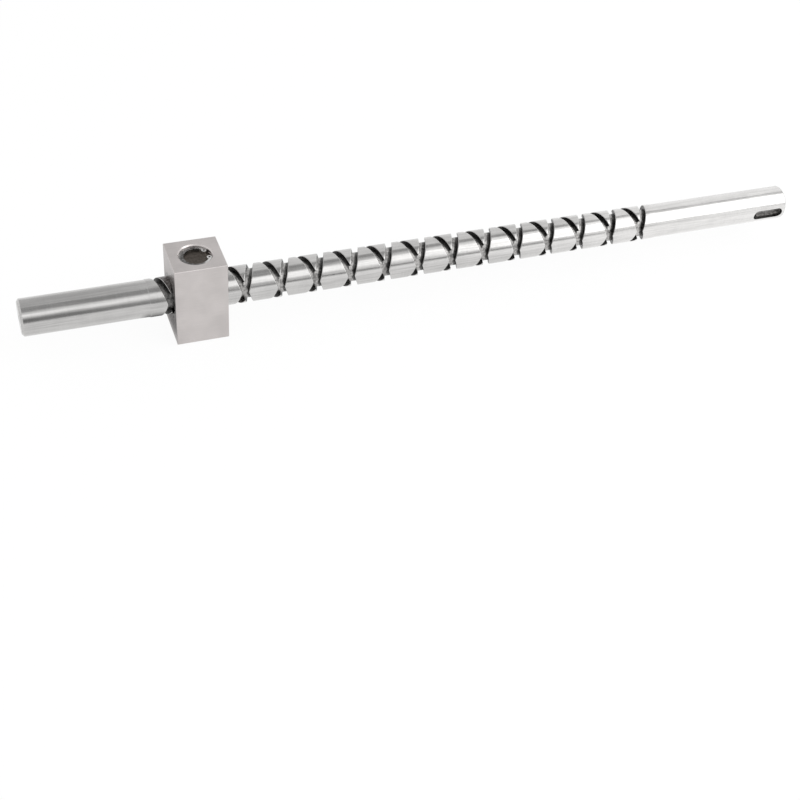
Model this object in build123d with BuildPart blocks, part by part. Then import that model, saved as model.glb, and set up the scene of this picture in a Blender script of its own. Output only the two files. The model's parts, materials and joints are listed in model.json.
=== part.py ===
from build123d import *
from math import atan, cos, pi, radians, sin, tan
import os

# Millimetres. X runs along the screw, the follower stands up along +Z, the photographed side faces -Y.
# The origin is on the screw's axis, in the middle of its plain journal. Angles round the screw are
# counted from +Y towards +Z.

# Screw
journal_diameter = 16.0
screw_diameter = 16.4
lead = 16.0
lead_turns = 15
groove_width = 2.8
groove_depth = 2.0
turnaround_angle = -8.0
plain_journal_length = 54.3
keyed_journal_length = 73.7
collar_length = 1.0
shaft_chamfer = 1.0
centre_hole_diameter = 4.0
centre_pilot_diameter = 1.6
centre_pilot_depth = 4.5
centre_cone_angle = 60.0
keyway_width = 5.0
keyway_length = 16.0
keyway_depth = 3.0
keyway_end_gap = 2.2
keyway_angle = 185.0

# Nut
rest_turns = 1
block_width = 22.8
block_depth = 22.0
block_height = 38.2
block_edge_break = 0.2
bush_wall = 1.0
bush_length = 3.4
bush_chamfer = 0.25
wiper_wall = 1.5
wiper_length = 1.5
bore_land_wall = 0.5
bolt_spacing = 14.0
bolt_drill_diameter = 3.3
bolt_drill_depth = 8.0

# Follower and the stack over it
follower_bore = 12.0
follower_head_height = 2.0
stem_diameter = 8.0
blade_length = 9.5
blade_end_width = 1.3
blade_floor_gap = 0.4
thrust_washer_thickness = 0.8
disc_spring_height = 0.95
disc_spring_thickness = 0.45
disc_spring_hole = 6.2
cover_bore = 14.0
cover_thickness = 1.6
o_ring_cord = 0.9
circlip_depth = 1.0
circlip_thickness = 1.0
circlip_groove_depth = 0.3
circlip_back_width = 1.9
circlip_lug_radius = 1.1
circlip_lug_hole = 0.9
circlip_gap_angle = 12.0
circlip_lug_spread = 27.0
mouth_chamfer = 0.5

# Fits
running_clearance = 0.04
seat_clearance = 0.03
groove_clearance = 0.18
face_clearance = 0.1
head_clearance = 0.3

# Derived sizes
journal_radius = journal_diameter / 2
screw_radius = screw_diameter / 2
core_radius = screw_radius - groove_depth
helix_angle = atan(lead / (pi * screw_diameter))
groove_half = groove_width / cos(helix_angle) / 2
seat_length = plain_journal_length - shaft_chamfer - collar_length
screw_start = seat_length / 2 + collar_length
screw_end = screw_start + lead_turns * lead
right_end = screw_end + keyed_journal_length
nut_x = screw_start + lead * (90 - turnaround_angle) / 360 + rest_turns * lead
block_top = block_height / 2
blade_width = groove_width - 2 * groove_clearance
cut_over = 1.0
land_root = 0.5
wall_step = 15
past_crossing = 20


def on_screw(angle, x, radius):
    return Vector(x, radius * cos(radians(angle)), radius * sin(radians(angle)))


def groove_slab(path, start, end, near, length):
    # The space between two walls of a groove whose middle follows path(angle), from start to end.
    # Each wall is ruled along the radius; near and length place the walls along X.
    steps = max(4, round(abs(end - start) / wall_step))
    angles = [start + (end - start) * step / steps for step in range(steps + 1)]
    inner = Edge.make_spline([on_screw(a, path(a) + near, core_radius - cut_over) for a in angles])
    outer = Edge.make_spline([on_screw(a, path(a) + near, screw_radius + cut_over) for a in angles])
    return Solid.extrude(Face.make_surface_from_curves(inner, outer), Vector(length, 0, 0))


def right_hand(angle):
    return lead * angle / 360


def left_hand(angle):
    return -lead * angle / 360


def turnaround(angle):
    # The groove's path round one end of the screw, from one crossing to the next: a cosine bend
    # over half a turn that runs into the helix on both sides.
    if abs(angle) > 90:
        return lead * abs(angle) / 360
    bend = lead / (2 * pi)
    return lead / 4 - bend * cos(radians(angle))


def ring_blank(start, length):
    with BuildPart() as blank:
        with BuildSketch(Plane.YZ.offset(start)):
            Circle(screw_radius)
            Circle(core_radius - land_root, mode=Mode.SUBTRACT)
        extrude(amount=length)
    return blank.part


# Lands of the screw, each standing between four grooves
half_reach = 180 + past_crossing
right_groove = groove_slab(right_hand, -half_reach, half_reach, -groove_half, 2 * groove_half)
left_groove = groove_slab(left_hand, -half_reach, half_reach, -groove_half, 2 * groove_half)

with BuildPart() as land_ring:
    add(ring_blank(-lead / 2, lead))
    add(right_groove, mode=Mode.SUBTRACT)
    add(left_groove, mode=Mode.SUBTRACT)
land = land_ring.part.solids().sort_by(SortBy.VOLUME)[-1]

with BuildPart() as end_ring:
    add(ring_blank(0, lead))
    for half in (-180, 0):
        add(groove_slab(turnaround, half, half + 180, groove_half - 2 * lead, 2 * lead), mode=Mode.SUBTRACT)
    near_end = 180 + past_crossing / 2
    far_end = 360 + past_crossing
    add(groove_slab(right_hand, near_end, far_end, -groove_half, 2 * groove_half), mode=Mode.SUBTRACT)
    add(groove_slab(left_hand, -far_end, -near_end, -groove_half, 2 * groove_half), mode=Mode.SUBTRACT)
end_land = end_ring.part.solids().sort_by(SortBy.VOLUME)[-1]


def journal(length):
    # One end of the screw, with the outer wall of the turnaround at x = 0, then a collar of the screw's
    # own diameter and the bearing seat towards -X.
    with BuildPart() as end:
        with BuildSketch(Plane.YZ.offset(-length)):
            Circle(journal_radius)
        extrude(amount=length - collar_length)
        chamfer(end.edges().group_by(Axis.X)[0], shaft_chamfer)
        with BuildSketch(Plane.YZ.offset(-collar_length)):
            Circle(screw_radius)
        extrude(amount=collar_length + lead / 2)
        for half in (-180, 0):
            add(groove_slab(turnaround, half, half + 180, -groove_half, 2 * lead), mode=Mode.SUBTRACT)
        cone_depth = (centre_hole_diameter - centre_pilot_diameter) / 2 / tan(radians(centre_cone_angle / 2))
        with BuildSketch(Plane.XZ):
            with BuildLine():
                Polyline(
                    (-length, 0),
                    (-length, centre_hole_diameter / 2),
                    (-length + cone_depth, centre_pilot_diameter / 2),
                    (-length + centre_pilot_depth, centre_pilot_diameter / 2),
                    (-length + centre_pilot_depth, 0),
                    close=True,
                )
            make_face()
        revolve(axis=Axis.X, mode=Mode.SUBTRACT)
    return end.part


def turned(shape, angle, x):
    return shape.rotate(Axis.X, turnaround_angle + angle).moved(Location((x, 0, 0)))


screw_middle = Plane.YZ.offset((screw_start + screw_end) / 2)
left_journal = turned(journal(plain_journal_length), 0, screw_start)
right_journal = turned(journal(keyed_journal_length), 0, screw_start).mirror(screw_middle)
left_end_land = turned(end_land, 0, screw_start)
lands = [left_end_land, left_end_land.mirror(screw_middle)]
for half_turn in range(2, 2 * lead_turns - 1):
    lands.append(turned(land, 180 * half_turn, screw_start + half_turn * lead / 2))

with BuildPart() as screw_shaft:
    with BuildSketch(Plane.YZ.offset(screw_start - lead / 4)):
        Circle(core_radius)
    extrude(amount=lead_turns * lead + lead / 2)
    add(lands)
    add(left_journal)
    add(right_journal)
    key_plane = Plane(
        origin=on_screw(keyway_angle, right_end - keyway_end_gap - keyway_length / 2, journal_radius + cut_over),
        x_dir=(1, 0, 0),
        z_dir=on_screw(keyway_angle, 0, 1),
    )
    with BuildSketch(key_plane):
        SlotOverall(keyway_length, keyway_width)
    extrude(amount=-keyway_depth - cut_over, mode=Mode.SUBTRACT)

# Heights of the stack in the follower's bore, from the screw up
head_bottom = screw_radius + head_clearance
head_top = head_bottom + follower_head_height
circlip_groove_width = circlip_thickness + face_clearance
circlip_bottom = block_top - circlip_depth - circlip_groove_width
cover_top = circlip_bottom
cover_bottom = cover_top - cover_thickness
disc_spring_bottom = cover_bottom - disc_spring_height
thrust_washer_bottom = disc_spring_bottom - thrust_washer_thickness
stem_top = thrust_washer_bottom - face_clearance
stem_length = stem_top - head_top
follower_bush_bottom = head_top + face_clearance
follower_bush_length = stem_top - face_clearance - follower_bush_bottom
nut_axis = Plane(origin=(nut_x, 0, 0))

bush_bore = screw_diameter + 2 * running_clearance
bush_outside = bush_bore + 2 * bush_wall
bush_seat = bush_outside + 2 * running_clearance
wiper_bore = bush_bore
wiper_outside = wiper_bore + 2 * wiper_wall
wiper_seat = wiper_outside + 2 * seat_clearance
wiper_depth = wiper_length + face_clearance
bush_seat_end = wiper_depth + bush_length + face_clearance
land_bore = screw_diameter + 2 * bore_land_wall

with BuildPart() as nut_block:
    with BuildSketch(nut_axis.offset(-block_height / 2)):
        Rectangle(block_width, block_depth)
    extrude(amount=block_height)
    chamfer(nut_block.edges(), block_edge_break)
    for side in (-1, 1):
        face_plane = Plane(origin=(nut_x + side * block_width / 2, 0, 0), z_dir=(-side, 0, 0))
        with BuildSketch(face_plane):
            Circle(wiper_seat / 2)
        extrude(amount=wiper_depth, mode=Mode.SUBTRACT)
        with BuildSketch(face_plane):
            Circle(bush_seat / 2)
        extrude(amount=bush_seat_end, mode=Mode.SUBTRACT)
    with BuildSketch(Plane.YZ.offset(nut_x)):
        Circle(land_bore / 2)
    extrude(amount=block_width, both=True, mode=Mode.SUBTRACT)
    with BuildSketch(nut_axis):
        Circle(follower_bore / 2)
    extrude(amount=block_top, mode=Mode.SUBTRACT)
    with BuildSketch(nut_axis.offset(disc_spring_bottom)):
        Circle(cover_bore / 2)
    extrude(amount=block_top - disc_spring_bottom, mode=Mode.SUBTRACT)
    with BuildSketch(nut_axis.offset(circlip_bottom)):
        Circle(cover_bore / 2 + circlip_groove_depth)
    extrude(amount=circlip_groove_width, mode=Mode.SUBTRACT)
    mouth = nut_block.faces().sort_by(Axis.Z)[-1].inner_wires()[0].edges()
    chamfer(mouth, mouth_chamfer)
    with BuildSketch(nut_axis.offset(-block_top)):
        with GridLocations(bolt_spacing, bolt_spacing, 2, 2):
            Circle(bolt_drill_diameter / 2)
    extrude(amount=bolt_drill_depth, mode=Mode.SUBTRACT)


def sleeve(plane, bore, outside, length, bevel):
    with BuildPart() as ring:
        with BuildSketch(plane):
            Circle(outside / 2)
            Circle(bore / 2, mode=Mode.SUBTRACT)
        extrude(amount=length)
        if bevel:
            chamfer(ring.edges(), bevel)
    return ring


left_face = nut_x - block_width / 2
right_face = nut_x + block_width / 2
left_bush = sleeve(Plane.YZ.offset(left_face + wiper_depth), bush_bore, bush_outside, bush_length, bush_chamfer)
right_bush = sleeve(
    Plane.YZ.offset(right_face - wiper_depth - bush_length), bush_bore, bush_outside, bush_length, bush_chamfer
)
left_wiper = sleeve(Plane.YZ.offset(left_face), wiper_bore, wiper_outside, wiper_length, 0)
right_wiper = sleeve(Plane.YZ.offset(right_face - wiper_length), wiper_bore, wiper_outside, wiper_length, 0)

# Follower: a crowned blade in the right-hand groove, under a round head and stem
blade_plane = Plane(
    origin=(nut_x, 0, 0), x_dir=(sin(-helix_angle), cos(helix_angle), 0), z_dir=(0, 0, 1)
)
with BuildPart() as follower:
    with BuildSketch(blade_plane):
        with BuildLine():
            half_length = blade_length / 2
            ThreePointArc(
                (-half_length, blade_end_width / 2), (0, blade_width / 2), (half_length, blade_end_width / 2)
            )
            ThreePointArc(
                (half_length, blade_end_width / 2),
                (half_length + blade_end_width / 4, 0),
                (half_length, -blade_end_width / 2),
            )
            ThreePointArc(
                (half_length, -blade_end_width / 2), (0, -blade_width / 2), (-half_length, -blade_end_width / 2)
            )
            ThreePointArc(
                (-half_length, -blade_end_width / 2),
                (-half_length - blade_end_width / 4, 0),
                (-half_length, blade_end_width / 2),
            )
        make_face()
    extrude(amount=head_bottom + follower_head_height / 2)
    with BuildSketch(Plane.YZ.offset(nut_x)):
        Circle(core_radius + blade_floor_gap)
    extrude(amount=follower_bore, both=True, mode=Mode.SUBTRACT)
    with BuildSketch(nut_axis.offset(head_bottom)):
        Circle(follower_bore / 2 - 2 * face_clearance)
    extrude(amount=follower_head_height)
    with BuildSketch(nut_axis.offset(head_top)):
        Circle(stem_diameter / 2)
    extrude(amount=stem_length)
    chamfer(follower.edges().group_by(Axis.Z)[-1], bush_chamfer)

follower_bush = sleeve(
    nut_axis.offset(follower_bush_bottom),
    stem_diameter + 2 * running_clearance,
    follower_bore - 2 * seat_clearance,
    follower_bush_length,
    bush_chamfer,
)

with BuildPart() as thrust_washer:
    with BuildSketch(nut_axis.offset(thrust_washer_bottom)):
        Circle(follower_bore / 2 - face_clearance)
    extrude(amount=thrust_washer_thickness)

spring_outside = follower_bore / 2 - 2 * face_clearance
with BuildPart() as disc_spring:
    with BuildSketch(Plane.XZ.shift_origin((nut_x, 0, 0))):
        with BuildLine():
            Polyline(
                (spring_outside, disc_spring_bottom),
                (spring_outside, disc_spring_bottom + disc_spring_thickness),
                (disc_spring_hole / 2, disc_spring_bottom + disc_spring_height),
                (disc_spring_hole / 2, disc_spring_bottom + disc_spring_height - disc_spring_thickness),
                close=True,
            )
        make_face()
    revolve(axis=Axis((nut_x, 0, 0), (0, 0, 1)))

cover_radius = cover_bore / 2 - seat_clearance
o_ring_centre = cover_radius - o_ring_cord / 2
o_ring_room = o_ring_cord / 2 + face_clearance / 2
cover_middle = (cover_top + cover_bottom) / 2
with BuildPart() as cover_disc:
    with BuildSketch(nut_axis.offset(cover_bottom)):
        Circle(cover_radius)
    extrude(amount=cover_thickness)
    with BuildSketch(nut_axis.offset(cover_middle - o_ring_room)):
        Circle(cover_radius + cut_over)
        Circle(o_ring_centre - o_ring_room, mode=Mode.SUBTRACT)
    extrude(amount=2 * o_ring_room, mode=Mode.SUBTRACT)

with BuildPart() as o_ring:
    with BuildSketch(Plane.XZ.shift_origin((nut_x, 0, 0))):
        with Locations((o_ring_centre, cover_middle)):
            Circle(o_ring_cord / 2)
    revolve(axis=Axis((nut_x, 0, 0), (0, 0, 1)))

# Internal circlip: a ring that thins towards its two eyed ends, open between them
circlip_radius = cover_bore / 2 + circlip_groove_depth - seat_clearance
circlip_inner = circlip_radius - circlip_back_width
eye_radius = cover_bore / 2 - circlip_lug_radius
circlip_plane = nut_axis.offset(circlip_bottom).rotated((0, 0, circlip_gap_angle))
with BuildPart() as circlip:
    with BuildSketch(circlip_plane):
        Circle(circlip_radius)
        with Locations((circlip_back_width / 4, 0)):
            Circle(circlip_inner, mode=Mode.SUBTRACT)
        with BuildLine():
            reach = 2 * circlip_radius
            Polyline(
                (0, 0),
                (reach * cos(radians(circlip_lug_spread)), reach * sin(radians(circlip_lug_spread))),
                (reach * cos(radians(circlip_lug_spread)), -reach * sin(radians(circlip_lug_spread))),
                close=True,
            )
        make_face(mode=Mode.SUBTRACT)
        with PolarLocations(eye_radius, 2, -circlip_lug_spread, 4 * circlip_lug_spread):
            Circle(circlip_lug_radius)
            Circle(circlip_lug_hole / 2, mode=Mode.SUBTRACT)
    extrude(amount=circlip_thickness)

pieces = {
    "screw_shaft": screw_shaft,
    "nut_block": nut_block,
    "left_bush": left_bush,
    "right_bush": right_bush,
    "left_wiper": left_wiper,
    "right_wiper": right_wiper,
    "follower": follower,
    "follower_bush": follower_bush,
    "thrust_washer": thrust_washer,
    "disc_spring": disc_spring,
    "cover_disc": cover_disc,
    "o_ring": o_ring,
    "circlip": circlip,
}

os.makedirs("parts", exist_ok=True)
for name, piece in pieces.items():
    piece.part.label = name
    export_step(piece.part, f"parts/{name}.step")
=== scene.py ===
import json
from math import atan, cos, pi, radians, sin, tan

import bmesh
import bpy
from mathutils import Matrix, Quaternion, Vector


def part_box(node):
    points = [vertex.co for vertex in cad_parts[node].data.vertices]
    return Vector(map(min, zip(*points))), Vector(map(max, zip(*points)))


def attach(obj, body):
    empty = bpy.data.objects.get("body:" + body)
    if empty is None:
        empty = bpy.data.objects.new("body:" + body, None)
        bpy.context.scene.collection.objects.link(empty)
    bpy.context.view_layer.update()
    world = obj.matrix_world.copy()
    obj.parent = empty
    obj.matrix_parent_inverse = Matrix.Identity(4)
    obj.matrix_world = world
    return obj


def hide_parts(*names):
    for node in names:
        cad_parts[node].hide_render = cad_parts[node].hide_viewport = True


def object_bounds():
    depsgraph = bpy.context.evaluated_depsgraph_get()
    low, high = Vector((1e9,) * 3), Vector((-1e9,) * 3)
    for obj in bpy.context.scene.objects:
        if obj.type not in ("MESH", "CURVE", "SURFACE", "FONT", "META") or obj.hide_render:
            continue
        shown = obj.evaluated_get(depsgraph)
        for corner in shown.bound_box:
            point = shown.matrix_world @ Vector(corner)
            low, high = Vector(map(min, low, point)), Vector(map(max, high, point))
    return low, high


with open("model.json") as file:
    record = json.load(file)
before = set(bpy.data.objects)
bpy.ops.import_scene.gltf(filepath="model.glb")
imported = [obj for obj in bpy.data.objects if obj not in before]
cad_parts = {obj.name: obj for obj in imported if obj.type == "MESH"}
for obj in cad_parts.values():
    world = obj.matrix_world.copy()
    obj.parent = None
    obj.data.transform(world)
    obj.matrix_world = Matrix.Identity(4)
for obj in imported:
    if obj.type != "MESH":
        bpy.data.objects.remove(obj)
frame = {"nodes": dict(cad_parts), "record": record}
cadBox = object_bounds()
nodes = frame["nodes"]
mm = 0.001

# X runs along the screw, +Z is up through the circlip, the photograph looks at the -Y side.
# Angles round the screw are in degrees from +Y towards +Z. The screw is drawn in millimetres,
# the studio in metres.


class Wire:
    # One socket of a material with arithmetic on it: each sum or product adds its own Math node
    def __init__(self, board, socket):
        self.board = board
        self.socket = socket

    def math(self, operation, *others):
        sockets = dict(enumerate((self,) + others))
        return self.board.add("Math", {"operation": operation}, sockets)

    def __add__(self, other):
        return self.math("ADD", other)

    def __sub__(self, other):
        return self.math("SUBTRACT", other)

    def __rsub__(self, other):
        return self.board.add("Math", {"operation": "SUBTRACT"}, {0: other, 1: self})

    def __mul__(self, other):
        return self.math("MULTIPLY", other)

    def __truediv__(self, other):
        return self.math("DIVIDE", other)

    __radd__ = __add__
    __rmul__ = __mul__

    def clamped(self):
        return self.board.add("Clamp", {}, {"Value": self})

    def step(self, low, high):
        # 0 below low and 1 above high, with a smooth rise between them
        sockets = {"Value": self, "From Min": low, "From Max": high}
        return self.board.add("MapRange", {"interpolation_type": "SMOOTHSTEP"}, sockets)


class Board:
    # The nodes of one material or of the world
    def __init__(self, owner):
        owner.use_nodes = True
        self.owner = owner
        self.tree = owner.node_tree
        self.tree.nodes.clear()

    def add(self, kind, settings, sockets, output=0):
        node = self.tree.nodes.new("ShaderNode" + kind)
        for name, setting in settings.items():
            setattr(node, name, setting)
        for name, value in sockets.items():
            if isinstance(value, Wire):
                self.tree.links.new(value.socket, node.inputs[name])
            else:
                node.inputs[name].default_value = value
        return Wire(self, node.outputs[output]) if node.outputs else None

    def place(self):
        # The point on the piece, in millimetres
        point = self.add("TexCoord", {}, {}, "Object")
        return self.add("VectorMath", {"operation": "SCALE"}, {0: point, "Scale": 1 / mm})

    def split(self, vector):
        return [self.add("SeparateXYZ", {}, {0: vector}, axis) for axis in range(3)]

    def joined(self, x, y, z):
        return self.add("CombineXYZ", {}, {0: x, 1: y, 2: z})

    def fromAxis(self, first, second):
        # Distance from an axis, from the two coordinates across it
        return self.add("Math", {"operation": "SQRT"}, {0: first * first + second * second})

    def noise(self, vector, scale, detail=3.0, roughness=0.5):
        sockets = {"Vector": vector, "Scale": scale, "Detail": detail, "Roughness": roughness}
        return self.add("TexNoise", {}, sockets)

    def blend(self, factor, first, second):
        sockets = {0: factor, 6: first, 7: second}
        return self.add("Mix", {"data_type": "RGBA"}, sockets, 2)

    def greys(self, tone, dark, light, warmth):
        return self.blend(tone, grey(dark, warmth), grey(light, warmth))

    def bump(self, height, strength, depth):
        sockets = {"Height": height, "Strength": strength, "Distance": depth * mm}
        return self.add("Bump", {}, sockets)

    def seenRays(self):
        # 1 for what the camera sees, straight, mirrored or through something, and 0 for other light
        rays = ("Is Camera Ray", "Is Glossy Ray", "Is Transmission Ray")
        camera, glossy, transmitted = [self.add("LightPath", {}, {}, ray) for ray in rays]
        return camera + glossy + transmitted

    def surface(self, sockets):
        shader = self.add("BsdfPrincipled", {}, sockets)
        self.add("OutputMaterial", {}, {"Surface": shader})
        return self.owner

    def mixed(self, share, first, second):
        # Two shaders mixed, as the material's surface
        mix = self.add("MixShader", {}, {0: share, 1: first, 2: second})
        self.add("OutputMaterial", {}, {"Surface": mix})
        return self.owner


def newMaterial(name):
    return Board(bpy.data.materials.new(name))


def grey(level, warmth=0.0):
    return (level * (1 + warmth), level, level * (1 - warmth), 1)


# The screw. Its ends come from the frame, its lead from the travel of the nut.
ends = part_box("screw_shaft")
screw = {
    "leftEnd": ends[0].x / mm,
    "rightEnd": ends[1].x / mm,
    "radius": 8.2,
    "journalRadius": 8.0,
    "collar": 1.0,
    "lead": frame["record"]["behaviour"]["couplings"][0]["ratio"] * 2 * pi / mm,
    "turns": 15,
    "grooveWidth": 2.8,
    "grooveDepth": 2.0,
    "turnaroundAngle": -8.0,
    "bendShare": 1 / 3,
    "plainJournal": 54.3,
    "chamfer": 1.0,
    "edgeBreak": 0.22,
    "cornerRound": 0.22,
    "landCells": 34,
    "stepsRound": 96,
    "sunk": 0.1,
    "sharpAngle": 50.0,
}
lead = screw["lead"]
radius = screw["radius"]
coreRadius = radius - screw["grooveDepth"]
helix = atan(lead / (2 * pi * radius))
grooveHalf = screw["grooveWidth"] / cos(helix) / 2
screwStart = screw["leftEnd"] + screw["plainJournal"]
screwEnd = screwStart + screw["turns"] * lead

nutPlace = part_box("nut_block")
nutX = (nutPlace[0].x + nutPlace[1].x) / 2 / mm


def aroundScrew(board):
    # Place along the screw, angle round it in turns from the turnaround, and distance from its axis
    x, y, z = board.split(board.place())
    angle = board.add("Math", {"operation": "ARCTAN2"}, {0: z, 1: y})
    turns = (angle / (2 * pi) - screw["turnaroundAngle"] / 360).math("WRAP", 0.5, -0.5)
    return x, turns, board.fromAxis(y, z)


# In all finishes, lengths are in millimetres, scales per millimetre, and ranges are what a step
# rises over.
# Painted shade and dark reflection of the nut block, laid as dark blots on the first lands
landShadeFinish = {
    "colour": (0.05, 0.04, 0.037, 1),
    "cover": 0.55,
    "blotCover": 0.4,
    "blotScale": 0.7,
    "blotRange": (0.3, 0.62),
    "startRange": (0.0, 0.4),
    "endRange": (8.0, 30.0),
    "cleanEdge": (0.04, 0.01),
}


def landShadeOn(board, x, turns, reach):
    # How much painted shade and dark reflection of the nut block lies on a land: past the turnaround,
    # in blots, and not on the broken edges
    noise = board.noise(board.place(), landShadeFinish["blotScale"], detail=5, roughness=0.7)
    cover = landShadeFinish["cover"] + landShadeFinish["blotCover"] * noise.step(*landShadeFinish["blotRange"])
    along = x - screwStart
    begun = (along - turns.math("ABSOLUTE") * lead).step(*landShadeFinish["startRange"])
    ended = along.step(*landShadeFinish["endRange"])
    onTop = reach.step(*[radius - depth for depth in landShadeFinish["cleanEdge"]])
    return cover * begun * (1 - ended) * onTop


groundFinish = {
    "dark": 0.45,
    "light": 0.58,
    "warmth": 0.012,
    "toneRange": (0.34, 0.66),
    "streakShare": 0.6,
    "ringShare": 0.2,
    "cloudShare": 0.2,
    "streakStretch": (0.03, 0.9, 0.9),
    "streakScale": 1.6,
    "ringsPerMm": 5.0,
    "ringsPerTurn": 3.8,
    "cloudScale": 0.12,
    "roughness": 0.13,
    "streakRoughness": 0.06,
    "ringRoughness": 0.06,
    "landShadeRoughness": 0.1,
    "bump": 0.06,
    "bumpDepth": 0.05,
    "streakBump": 0.6,
}


def groundSteel():
    # Ground and polished bar: faint streaks along the shaft, fine grinding rings round it, and
    # painted shade and dark reflection of the nut block on the first lands, where the nut turns back
    finish = groundFinish
    board = newMaterial("groundSteel")
    x, turns, reach = aroundScrew(board)
    point = board.place()
    stretch = {0: point, 1: finish["streakStretch"]}
    streakPlace = board.add("VectorMath", {"operation": "MULTIPLY"}, stretch)
    streaks = board.noise(streakPlace, finish["streakScale"], detail=6, roughness=0.65)
    ringPlace = board.joined(x * finish["ringsPerMm"], turns * finish["ringsPerTurn"], 0.0)
    rings = board.noise(ringPlace, 1.0, detail=2)
    cloud = board.noise(point, finish["cloudScale"])
    tone = (
        streaks * finish["streakShare"] + rings * finish["ringShare"] + cloud * finish["cloudShare"]
    ).step(*finish["toneRange"])
    clean = board.greys(tone, finish["dark"], finish["light"], finish["warmth"])
    # The first lands are darkened with painted shade and dark reflection of the nut block
    landShade = landShadeOn(board, x, turns, reach)
    roughness = (
        finish["roughness"] + finish["streakRoughness"] * streaks
        + finish["ringRoughness"] * rings + finish["landShadeRoughness"] * landShade
    )
    height = rings + streaks * finish["streakBump"]
    return board.surface({
        "Base Color": board.blend(landShade, clean, landShadeFinish["colour"]),
        "Metallic": 1.0,
        "Roughness": roughness,
        "Normal": board.bump(height, finish["bump"], finish["bumpDepth"]),
    })


# The painted shade at the foot of the walls is measured across the groove: it starts in millimetres
# from the middle and ends in half widths. The painted shade on the floor beside the nut block is
# measured along the screw.
grooveFinish = {
    # The walls take a darker copy of the groove's colour as painted shade
    "shadedWallDark": 0.01,
    "shadedWallLight": 0.16,
    "floorDark": 0.16,
    "floorLight": 0.6,
    "warmth": 0.02,
    "toneRange": (0.36, 0.68),
    "markShare": 0.7,
    "lineShare": 0.3,
    "markScale": 1.1,
    "linesPerMm": 7.0,
    "linesAlong": 0.6,
    "roughness": 0.3,
    "markRoughness": 0.2,
    "bump": 0.4,
    "bumpDepth": 0.08,
    "lineBump": 0.6,
    "floorRange": (0.0, 0.1),
    # Painted shade at the foot of the walls
    "footStart": (-0.1, 0.5),
    "footEnd": (1.05, 1.2),
    "crossing": (0.9, 1.2),
    "paintedFootShade": 0.95,
    # Painted shade and dark reflection of the nut block on the floor where the grooves begin
    "floorShadeStart": (0.0, 1.0),
    "floorShadeEnd": (9.0, 13.0),
    "floorShade": 0.65,
}


def paintedFootShade(board, x, turns):
    # Black painted shade at the foot of the walls on the +X side, away from where the grooves cross,
    # for the shadow of a deeper groove
    across = [
        (x - screwStart + turns * lead * hand).math("WRAP", lead / 2, -lead / 2) for hand in (-1, 1)
    ]
    footShade = 0
    for own, other in (across, across[::-1]):
        begun = own.step(*grooveFinish["footStart"])
        ended = own.step(*[grooveHalf * share for share in grooveFinish["footEnd"]])
        crossing = [grooveHalf * share for share in grooveFinish["crossing"]]
        footShade = begun * (1 - ended) * other.math("ABSOLUTE").step(*crossing) + footShade
    return footShade.clamped()


def grooveSteel():
    # Milled groove, streaked along the cut: walls and their foot painted black as shade, the floor
    # lighter but for painted shade and dark reflection of the nut block, where the nut turns back
    finish = grooveFinish
    board = newMaterial("grooveSteel")
    x, turns, reach = aroundScrew(board)
    marks = board.noise(board.place(), finish["markScale"], detail=6, roughness=0.7)
    linePlace = board.joined(reach * finish["linesPerMm"], x * finish["linesAlong"], 0.0)
    lines = board.noise(linePlace, 1.0)
    tone = (marks * finish["markShare"] + lines * finish["lineShare"]).step(*finish["toneRange"])
    # Walls in painted shade, floors in the lit colour
    shadedWalls = board.greys(tone, finish["shadedWallDark"], finish["shadedWallLight"], finish["warmth"])
    floors = board.greys(tone, finish["floorDark"], finish["floorLight"], finish["warmth"])
    height = (reach - coreRadius) / screw["grooveDepth"]
    along = x - screwStart
    # The floor is darkened with painted shade and dark reflection of the nut block where the grooves
    # begin
    floorShade = along.step(*finish["floorShadeStart"]) * (1 - along.step(*finish["floorShadeEnd"]))
    # Lit where neither painted shade darkens the floor
    unshaded = (1 - finish["paintedFootShade"] * paintedFootShade(board, x, turns)) * (1 - finish["floorShade"] * floorShade)
    floor = (1 - height.step(*finish["floorRange"])) * unshaded
    relief = lines * finish["lineBump"] + marks
    return board.surface({
        "Base Color": board.blend(floor, shadedWalls, floors),
        "Metallic": 1.0,
        "Roughness": finish["roughness"] + finish["markRoughness"] * marks,
        "Normal": board.bump(relief, finish["bump"], finish["bumpDepth"]),
    })


blockFinish = {
    "dark": (0.515, 0.487, 0.477, 1),
    "light": (0.605, 0.57, 0.56, 1),
    "toneRange": (0.3, 0.7),
    "hairShare": 0.45,
    "cloudShare": 0.55,
    "hairsAlong": 0.12,
    "hairsPerMm": 5.0,
    "cloudScale": 0.1,
    "speckScale": 3.2,
    "speckRange": (0.6, 0.75),
    "speckDepth": 0.12,
    "roughness": 0.24,
    "hairRoughness": 0.16,
    "bump": 0.05,
    "bumpDepth": 0.05,
}


def blockSteel():
    # Surface-ground block: hair lines along the screw's direction, a soft cloudiness, small specks
    finish = blockFinish
    board = newMaterial("blockSteel")
    point = board.place()
    x, y, z = board.split(point)
    fine = finish["hairsPerMm"]
    hairPlace = board.joined(x * finish["hairsAlong"], y * fine, z * fine)
    hair = board.noise(hairPlace, 1.0, detail=4, roughness=0.6)
    cloud = board.noise(point, finish["cloudScale"], detail=2)
    specks = board.noise(point, finish["speckScale"], detail=2).step(*finish["speckRange"])
    tone = (hair * finish["hairShare"] + cloud * finish["cloudShare"]).step(*finish["toneRange"])
    speckled = tone - specks * finish["speckDepth"]
    return board.surface({
        "Base Color": board.blend(speckled, finish["dark"], finish["light"]),
        "Metallic": 1.0,
        "Roughness": finish["roughness"] + finish["hairRoughness"] * hair,
        "Normal": board.bump(hair, finish["bump"], finish["bumpDepth"]),
    })


turnedFinish = {
    "ringShare": 0.5,
    "stainShare": 0.5,
    "toneRange": (0.32, 0.68),
    "stainScale": 0.7,
    "stainRoughness": 0.15,
    "bump": 0.25,
    "bumpDepth": 0.05,
}

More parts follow.
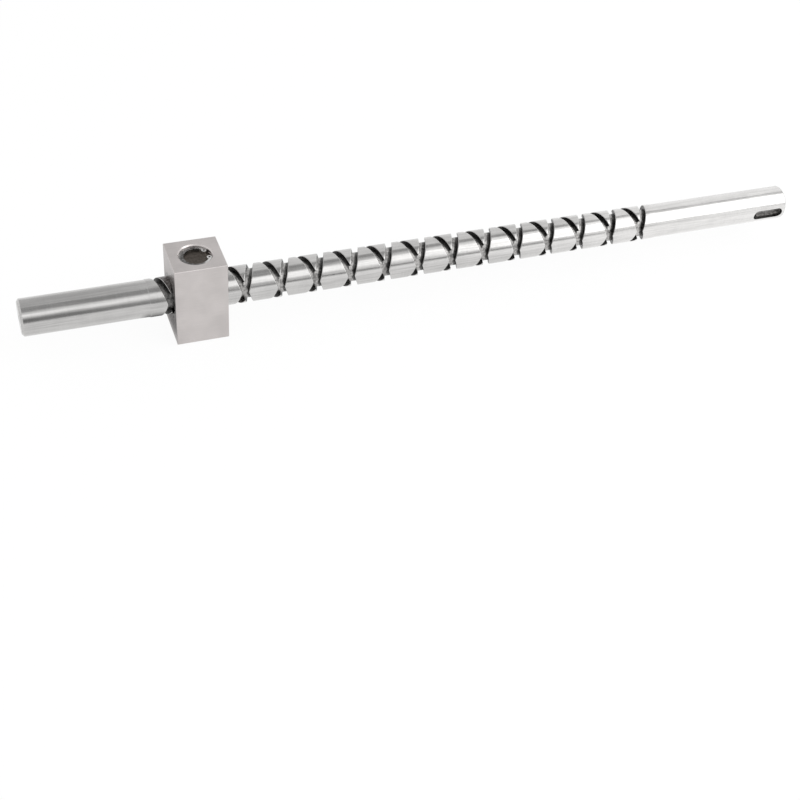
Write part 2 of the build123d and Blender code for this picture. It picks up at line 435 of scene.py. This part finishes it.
# Turned pieces: upright ones have their rings about the nut's cover bore, the others about the screw
turnedMetals = [
    {
        "name": "coverSteel", "on": ("cover_disc",), "upright": True,
        "dark": (0.05, 0.042, 0.036, 1), "light": (0.12, 0.104, 0.09, 1),
        "roughness": 0.34, "ringsPerMm": 3.0,
    },
    {
        "name": "bronze", "on": ("left_bush", "right_bush"), "upright": False,
        "dark": (0.36, 0.2, 0.07, 1), "light": (0.52, 0.32, 0.13, 1),
        "roughness": 0.3, "ringsPerMm": 4.0,
    },
    {
        "name": "uprightBronze", "on": ("follower", "follower_bush"), "upright": True,
        "dark": (0.38, 0.22, 0.08, 1), "light": (0.55, 0.35, 0.15, 1),
        "roughness": 0.26, "ringsPerMm": 4.0,
    },
    {
        "name": "washerSteel", "on": ("thrust_washer", "disc_spring"), "upright": True,
        "dark": grey(0.3), "light": grey(0.5), "roughness": 0.28, "ringsPerMm": 3.0,
    },
    {
        "name": "wiperCase", "on": ("left_wiper", "right_wiper"), "upright": False,
        "dark": grey(0.36, 0.02), "light": grey(0.5, 0.02), "roughness": 0.32, "ringsPerMm": 3.0,
    },
]


def turnedSteel(metal):
    # Fine turning rings under faint stains
    finish = turnedFinish
    board = newMaterial(metal["name"])
    point = board.place()
    x, y, z = board.split(point)
    if metal["upright"]:
        reach, along = board.fromAxis(x - nutX, y), z
    else:
        reach, along = board.fromAxis(y, z), x
    fine = metal["ringsPerMm"]
    rings = board.noise(board.joined(reach * fine, along * fine, 0.0), 1.0)
    stain = board.noise(point, finish["stainScale"], detail=4, roughness=0.6)
    tone = (rings * finish["ringShare"] + stain * finish["stainShare"]).step(*finish["toneRange"])
    return board.surface({
        "Base Color": board.blend(tone, metal["dark"], metal["light"]),
        "Metallic": 1.0,
        "Roughness": metal["roughness"] + finish["stainRoughness"] * stain,
        "Normal": board.bump(rings, finish["bump"], finish["bumpDepth"]),
    })


# The ring's painted shade gives way towards its rim, measured from the ring's middle, and at its
# eyes, measured from there along X
springFinish = {
    "dark": grey(0.05, 0.05),
    "light": grey(0.66, 0.01),
    "stainScale": 1.3,
    "stainRange": (0.34, 0.62),
    "stainShare": 0.3,
    "brightShare": 0.7,
    "rim": (6.3, 7.0),
    "rimShare": 0.7,
    "eyes": (2.5, 3.5),
    "roughness": 0.34,
    "polish": 0.12,
}


def springSteel():
    # Stamped ring, a little stained, painted dark as shade inside its rim and light towards its rim
    # and at its eyes
    finish = springFinish
    board = newMaterial("springSteel")
    point = board.place()
    x, y, z = board.split(point)
    away = x - nutX
    # Painted shade: the ring is dark inside its rim, but not at its eyes
    rim = board.fromAxis(away, y).step(*finish["rim"]) * finish["rimShare"]
    unshaded = (rim + away.step(*finish["eyes"])).clamped()
    stain = board.noise(point, finish["stainScale"], detail=5, roughness=0.65)
    marks = stain.step(*finish["stainRange"])
    shine = marks * finish["stainShare"] + unshaded * finish["brightShare"]
    return board.surface({
        "Base Color": board.blend(shine, finish["dark"], finish["light"]),
        "Metallic": 1.0,
        "Roughness": finish["roughness"] - finish["polish"] * shine,
    })


rubberFinish = {
    "dark": grey(0.012),
    "light": grey(0.03),
    "grainScale": 4.0,
    "roughness": 0.5,
    "grainRoughness": 0.2,
}


def blackRubber():
    finish = rubberFinish
    board = newMaterial("blackRubber")
    grain = board.noise(board.place(), finish["grainScale"])
    return board.surface({
        "Base Color": board.blend(grain, finish["dark"], finish["light"]),
        "Roughness": finish["roughness"] + finish["grainRoughness"] * grain,
    })


print("materials")
steel = groundSteel()
cut = grooveSteel()
finishes = {"nut_block": blockSteel(), "circlip": springSteel(), "o_ring": blackRubber()}
for metal in turnedMetals:
    finishes.update(dict.fromkeys(metal["on"], turnedSteel(metal)))


def turnaround(angle):
    # Where the middle of the groove lies along X on its way round one end of the screw
    if abs(angle) > 90:
        return lead * abs(angle) / 360
    return lead / 4 - lead / (2 * pi) * cos(radians(angle))


def onScrew(x, angle, reach):
    return Vector((x, reach * cos(radians(angle)), reach * sin(radians(angle))))


def smoothFade(share):
    # From 1 at share 0 to 0 at share 1
    share = min(max(share, 0.0), 1.0)
    return 1 - share * share * (3 - 2 * share)


def thicken(sheet, height):
    # A flat sheet becomes a closed plate with its other side at that height
    copied = bmesh.ops.extrude_face_region(sheet, geom=sheet.faces[:])["geom"]
    verts = [v for v in copied if isinstance(v, bmesh.types.BMVert)]
    bmesh.ops.translate(sheet, verts=verts, vec=(0, 0, height))
    bmesh.ops.recalc_face_normals(sheet, faces=sheet.faces[:])


def roundEdges(part, edges, size, segments):
    bmesh.ops.bevel(
        part, geom=edges, offset=size, segments=segments, profile=0.5, affect="EDGES", material=-1
    )
    part.normal_update()


def flatLand():
    # One land rolled out flat, its sides along the two grooves: a gridded plate with broken edges
    fold = 1.0
    upright = 1.0
    topLevel = -0.01
    wallNormal = 0.1
    side = lead * cos(helix) - screw["grooveWidth"]
    cells = screw["landCells"]
    plate = bmesh.new()
    bmesh.ops.create_grid(plate, x_segments=cells, y_segments=cells, size=side / 2)
    thicken(plate, -(screw["grooveDepth"] + screw["sunk"]))
    plate.normal_update()
    folded = [e for e in plate.edges if e.calc_face_angle(0) > fold]
    corners = [e for e in folded if abs(e.verts[0].co.z - e.verts[1].co.z) > upright]
    roundEdges(plate, corners, screw["cornerRound"], 3)
    folded = [e for e in plate.edges if e.calc_face_angle(0) > fold]
    rim = [e for e in folded if min(v.co.z for v in e.verts) > topLevel]
    roundEdges(plate, rim, screw["edgeBreak"], 2)
    for face in plate.faces:
        face.smooth = True
        face.material_index = 1 if face.normal.z < wallNormal else 0
    return plate


def rolledLand(plate, halfTurn):
    # The plate rolled on to the screw. The first and last lands give way to the turnaround.
    land = plate.copy()
    middle = 180 + 180 * halfTurn + screw["turnaroundAngle"]
    span = lead * cos(helix)
    inward = {1: 1, 2 * screw["turns"] - 1: -1}.get(halfTurn, 0)
    for vert in land.verts:
        p, q = vert.co.x / span, vert.co.y / span
        angle = 180 * (q - p)
        x = lead * (p + q) / 2
        if inward:
            straight = lead * abs(angle) / 360
            gap = inward * x + lead / 2 - straight - grooveHalf
            fade = smoothFade(gap / (lead * screw["bendShare"]))
            x += inward * (turnaround(angle) - straight) * fade
        vert.co = onScrew(screwStart + halfTurn * lead / 2 + x, middle + angle, radius + vert.co.z)
    return land


journalShape = {
    "holeRadius": 2.0,
    "pilotRadius": 0.8,
    "pilotDepth": 4.5,
    "coneAngle": 30.0,
    "soft": 0.12,
    "away": 100,
}


def journalProfile(length):
    # The outline from the middle of the centre hole over the end face and the seat to the collar
    hole = journalShape["holeRadius"]
    pilot = journalShape["pilotRadius"]
    pilotDepth = journalShape["pilotDepth"]
    coneDepth = (hole - pilot) / tan(radians(journalShape["coneAngle"]))
    soft = journalShape["soft"]
    chamfer = screw["chamfer"]
    seat = screw["journalRadius"]
    collar = -screw["collar"]
    tip = -length
    return [
        (tip + pilotDepth, 0), (tip + pilotDepth, pilot), (tip + coneDepth, pilot),
        (tip + soft, hole - soft / 2), (tip, hole + soft),
        (tip, seat - chamfer - soft), (tip + soft / 2, seat - chamfer),
        (tip + chamfer - soft, seat - soft / 2), (tip + chamfer + soft, seat),
        (tip / 2, seat), (collar - soft, seat), (collar, seat + soft / 2),
        (collar, radius - soft / 2), (collar + soft / 2, radius),
    ]


def wallProfile():
    # The outline over the groove's broken edge and down its outer wall to the middle of the core
    away = journalShape["away"]
    broken = screw["edgeBreak"]
    bulge = 0.3 * broken
    return [
        (away - broken, radius), (away - bulge, radius - bulge), (away, radius - broken),
        (away, coreRadius - screw["sunk"]), (away, 0),
    ]


def journal(length):
    # One end of the screw, from its end face to the outer wall of the turnaround. The outline is
    # spun with the wall far away, and the wall then comes to its place along X.
    away = journalShape["away"]
    wallFrom = away - 0.2 * screw["edgeBreak"]
    end = bmesh.new()
    verts = [end.verts.new((x, reach, 0)) for x, reach in journalProfile(length) + wallProfile()]
    edges = [end.edges.new(pair) for pair in zip(verts, verts[1:])]
    bmesh.ops.spin(
        end, geom=verts + edges, axis=(1, 0, 0), angle=2 * pi, steps=screw["stepsRound"],
        use_merge=True,
    )
    bmesh.ops.remove_doubles(end, verts=end.verts[:], dist=1e-5)
    for face in end.faces:
        face.smooth = True
        face.material_index = 1 if min(v.co.x for v in face.verts) > wallFrom else 0
    for vert in end.verts:
        if vert.co.x > away / 2:
            spoke = Vector((vert.co.y, vert.co.z))
            angle = spoke.angle_signed(Vector((1, 0)), 0) if spoke.length > 0.01 else 0
            vert.co.x += turnaround(angle * 180 / pi) - grooveHalf - away
    bmesh.ops.recalc_face_normals(end, faces=end.faces[:])
    turn = Matrix.Rotation(radians(screw["turnaroundAngle"]), 4, "X")
    place = Matrix.Translation((screwStart, 0, 0))
    bmesh.ops.transform(end, verts=end.verts[:], matrix=place @ turn)
    return end


def mirrored(part):
    # The same shape at the screw's other end
    middle = (screwStart + screwEnd) / 2
    for vert in part.verts:
        vert.co.x = 2 * middle - vert.co.x
    bmesh.ops.reverse_faces(part, faces=part.faces[:])
    return part


def meshOf(part, name):
    mesh = bpy.data.meshes.new(name)
    part.to_mesh(mesh)
    part.free()
    return mesh


def newPiece(part, name, materials, body):
    # A finished bmesh in millimetres becomes a piece of the part, in metres
    bmesh.ops.scale(part, verts=part.verts[:], vec=(mm, mm, mm))
    piece = bpy.data.objects.new(name, meshOf(part, name))
    bpy.context.scene.collection.objects.link(piece)
    for material in materials:
        piece.data.materials.append(material)
    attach(piece, body)
    return piece


def cutBy(part, cutter):
    # part with cutter taken out of it, both in millimetres
    whole = bpy.data.objects.new("whole", meshOf(part, "whole"))
    tool = bpy.data.objects.new("tool", meshOf(cutter, "tool"))
    for thing in (whole, tool):
        bpy.context.scene.collection.objects.link(thing)
        for material in (steel, cut):
            thing.data.materials.append(material)
    boolean = whole.modifiers.new("cut", "BOOLEAN")
    boolean.operation = "DIFFERENCE"
    boolean.solver = "EXACT"
    boolean.object = tool
    bpy.context.view_layer.update()
    evaluated = whole.evaluated_get(bpy.context.evaluated_depsgraph_get())
    mesh = bpy.data.meshes.new_from_object(evaluated)
    result = bmesh.new()
    result.from_mesh(mesh)
    for thing in (whole, tool):
        bpy.data.objects.remove(thing)
    bpy.data.meshes.remove(mesh)
    return result


keyway = {
    "width": 5.0,
    "length": 16.0,
    "depth": 3.0,
    "endGap": 2.2,
    "angle": 185.0,
    "steps": 48,
    "cutterAbove": 2.0,
}


def keywayCutter():
    # A round-ended slot, stretched from a circle and raised along the screw's radius
    slot = bmesh.new()
    bmesh.ops.create_circle(slot, cap_ends=True, segments=keyway["steps"], radius=keyway["width"] / 2)
    half = (keyway["length"] - keyway["width"]) / 2
    for vert in slot.verts:
        vert.co.x += half if vert.co.x > 1e-6 else -half
    thicken(slot, keyway["depth"] + keyway["cutterAbove"])
    for face in slot.faces:
        face.material_index = 1
    along = screw["rightEnd"] - keyway["endGap"] - keyway["length"] / 2
    place = Matrix.Translation((along, 0, 0))
    turn = Matrix.Rotation(radians(keyway["angle"] - 90), 4, "X")
    rise = Matrix.Translation((0, 0, screw["journalRadius"] - keyway["depth"]))
    bmesh.ops.transform(slot, verts=slot.verts[:], matrix=place @ turn @ rise)
    return slot


def core():
    # The rod under the grooves; its ends lie inside the journals
    rod = bmesh.new()
    bmesh.ops.create_cone(
        rod, cap_ends=True, segments=screw["stepsRound"], radius1=coreRadius, radius2=coreRadius,
        depth=screwEnd - screwStart + lead / 2,
    )
    for face in rod.faces:
        face.smooth = len(face.verts) == 4
        face.material_index = 1
    middle = Matrix.Translation(((screwStart + screwEnd) / 2, 0, 0))
    bmesh.ops.transform(rod, verts=rod.verts[:], matrix=middle @ Matrix.Rotation(pi / 2, 4, "Y"))
    return rod


def joinInto(whole, part):
    mesh = meshOf(part, "part")
    whole.from_mesh(mesh)
    bpy.data.meshes.remove(mesh)


def makeScrew():
    whole = bmesh.new()
    joinInto(whole, core())
    joinInto(whole, journal(screw["plainJournal"]))
    rightJournal = mirrored(journal(screw["rightEnd"] - screwEnd))
    joinInto(whole, cutBy(rightJournal, keywayCutter()))
    plate = flatLand()
    for halfTurn in range(1, 2 * screw["turns"]):
        joinInto(whole, rolledLand(plate, halfTurn))
    plate.free()
    for edge in whole.edges:
        if edge.calc_face_angle(0) > radians(screw["sharpAngle"]):
            edge.smooth = False
    piece = newPiece(whole, "ground_screw", (steel, cut), "screw")
    weights = piece.modifiers.new("even normals", "WEIGHTED_NORMAL")
    weights.keep_sharp = True
    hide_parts("screw_shaft")


print("screw")
makeScrew()

print("nut")
for name, finish in finishes.items():
    node = nodes[name]
    node.data.materials.clear()
    node.data.materials.append(finish)

# The studio: a white floor and sky, cards and lamps
studio = {"floorGap": 0.0005, "floorSize": 6.0, "paper": 0.95, "shadow": 0.07, "skyLight": 0.9}


def paleMaterial(name):
    # White to the camera and in reflections but for a faint shadow, pale paper to other light
    board = newMaterial(name)
    share = (board.seenRays() * (1 - studio["shadow"])).clamped()
    paper = board.add("BsdfDiffuse", {}, {"Color": grey(studio["paper"])})
    glow = board.add("Emission", {}, {"Color": grey(1.0), "Strength": 1.0})
    return board.mixed(share, paper, glow)


def makeFloor():
    sheet = bmesh.new()
    bmesh.ops.create_grid(sheet, x_segments=1, y_segments=1, size=studio["floorSize"] / 2)
    drop = (0, 0, cadBox[0].z - studio["floorGap"])
    bmesh.ops.translate(sheet, verts=sheet.verts[:], vec=drop)
    floor = bpy.data.objects.new("floor", meshOf(sheet, "floor"))
    bpy.context.scene.collection.objects.link(floor)
    floor.data.materials.append(paleMaterial("floorPaper"))


# Cards that only reflections see: where, how large, tilted about X in degrees, how bright, and from
# which share of their half size they fade. Left, middle and right are parts of the screw.
cards = [
    {"name": "leftFaceFlag", "at": (0.0305, 0.016, -0.0189), "size": (0.016, 0.075),
     "tilt": 0, "level": 0.15, "soft": 0.3},
    {"name": "leftFaceShade", "at": (0.029, 0.056, -0.0193), "size": (0.03, 0.05),
     "tilt": 0, "level": 0.7, "soft": 0.4},
    {"name": "leftBack", "at": (-0.08, 0.64, 0.77), "size": (0.86, 2.2),
     "tilt": -40, "level": 0.62, "soft": 0.35},
    {"name": "leftAbove", "at": (0.0, -0.187, 0.962), "size": (0.95, 0.66),
     "tilt": 11, "level": 0.4, "soft": 0.6},
    {"name": "leftGlow", "at": (-0.1, -0.70, 0.68), "size": (0.8, 0.42),
     "tilt": 45, "level": 1.45, "soft": 0.25},
    {"name": "leftDark", "at": (-0.02, -0.96, 0.22), "size": (0.9, 0.95),
     "tilt": 77, "level": 0.2, "soft": 0.1},
    {"name": "middleAbove", "at": (0.5, 0.078, 0.997), "size": (0.8, 0.6),
     "tilt": -4.5, "level": 0.42, "soft": 0.4},
    {"name": "middleGlow", "at": (0.48, -0.65, 0.76), "size": (0.7, 0.86),
     "tilt": 40, "level": 1.7, "soft": 0.6},
    {"name": "middleLine", "at": (0.5, -0.98, 0.14), "size": (0.9, 0.2),
     "tilt": 82, "level": 0.1, "soft": 0.2},
    {"name": "middleFloor", "at": (0.24, -0.3, -0.0187), "size": (0.4, 0.66),
     "tilt": 0, "level": 1.26, "soft": 0.5},
    {"name": "rightBack", "at": (1.08, 0.72, 0.62), "size": (0.76, 1.7),
     "tilt": -49, "level": 1.38, "soft": 0.8},
    {"name": "rightFloor", "at": (0.62, 0.26, -0.0188), "size": (0.72, 0.5),
     "tilt": 0, "level": 1.3, "soft": 0.8},
    {"name": "rightFront", "at": (0.57, -0.27, -0.0186), "size": (0.8, 0.66),
     "tilt": 0, "level": 1.5, "soft": 0.7},
    {"name": "rightLow", "at": (1.08, -0.99, 0.14), "size": (0.76, 0.32),
     "tilt": 82, "level": 1.48, "soft": 0.9},
    {"name": "rightLine", "at": (1.0, 0.256, 0.894), "size": (0.7, 0.08),
     "tilt": -16, "level": 0.25, "soft": 0.5},
    {"name": "rightVeil", "at": (0.64, -0.16, 0.916), "size": (0.4, 0.36),
     "tilt": 10, "level": 1.35, "soft": 0.3},
]


def cardMaterial(card):
    # A glow that fades out towards the card's four sides
    board = newMaterial(card["name"])
    x, y, z = board.split(board.add("TexCoord", {}, {}, "Object"))
    fades = []
    for offset, size in zip((x, y), card["size"]):
        rim = offset.math("ABSOLUTE").step(size / 2 * card["soft"], size / 2)
        fades.append(1 - rim)
    glow = board.add("Emission", {}, {"Color": grey(card["level"]), "Strength": 1.0})
    clear = board.add("BsdfTransparent", {}, {})
    return board.mixed(fades[0] * fades[1], clear, glow)


def makeCard(card):
    sheet = bmesh.new()
    bmesh.ops.create_grid(sheet, x_segments=1, y_segments=1, size=0.5)
    stretch = Matrix.Diagonal((*card["size"], 1, 1))
    bmesh.ops.transform(sheet, verts=sheet.verts[:], matrix=stretch)
    plate = bpy.data.objects.new(card["name"], meshOf(sheet, card["name"]))
    tilt = Matrix.Rotation(radians(card["tilt"]), 4, "X")
    plate.matrix_world = Matrix.Translation(card["at"]) @ tilt
    bpy.context.scene.collection.objects.link(plate)
    plate.data.materials.append(cardMaterial(card))
    plate.visible_camera = False
    plate.visible_diffuse = False
    plate.visible_shadow = False


lamps = [
    {"name": "keyLamp", "at": (0.35, -0.75, 0.85), "aim": (0.35, 0, 0), "size": (1.3, 0.3),
     "power": 2.0, "mirrored": False},
    {"name": "rightLamp", "at": (1.02, -0.545, 0.839), "aim": (1.02, 0, 0), "size": (0.78, 1.32),
     "power": 6.0, "mirrored": True},
]


def makeLamp(lamp):
    light = bpy.data.lights.new(lamp["name"], "AREA")
    light.shape = "RECTANGLE"
    light.size, light.size_y = lamp["size"]
    light.energy = lamp["power"]
    holder = bpy.data.objects.new(lamp["name"], light)
    holder.location = lamp["at"]
    aim = Vector(lamp["aim"]) - Vector(lamp["at"])
    holder.rotation_euler = aim.to_track_quat("-Z", "Y").to_euler()
    holder.visible_glossy = lamp["mirrored"]
    bpy.context.scene.collection.objects.link(holder)


def makeSky():
    world = bpy.data.worlds.new("studio")
    bpy.context.scene.world = world
    board = Board(world)
    strength = studio["skyLight"] + (1 - studio["skyLight"]) * board.seenRays().clamped()
    sky = board.add("Background", {}, {"Color": grey(1.0), "Strength": strength})
    board.add("OutputWorld", {}, {"Surface": sky})


# The camera as fitted to the photograph, its roll in degrees
view = {
    "place": (-0.04956, -0.45050, 0.34955),
    "forward": (0.3000, 0.6852, -0.6637),
    "roll": 5.594,
    "lens": 59.58,
    "sensor": 36,
    "nearest": 0.01,
}


def makeCamera():
    camera = bpy.data.cameras.new("camera")
    camera.lens = view["lens"]
    camera.sensor_width = view["sensor"]
    camera.clip_start = view["nearest"]
    holder = bpy.data.objects.new("camera", camera)
    level = Vector(view["forward"]).to_track_quat("-Z", "Y")
    roll = Quaternion(Vector((0, 0, 1)), radians(view["roll"]))
    turn = (level @ roll).to_matrix().to_4x4()
    holder.matrix_world = Matrix.Translation(view["place"]) @ turn
    bpy.context.scene.collection.objects.link(holder)
    bpy.context.scene.camera = holder


print("studio")
makeFloor()
for card in cards:
    makeCard(card)
for lamp in lamps:
    makeLamp(lamp)
makeSky()
makeCamera()
bpy.context.scene.view_settings.view_transform = "Standard"
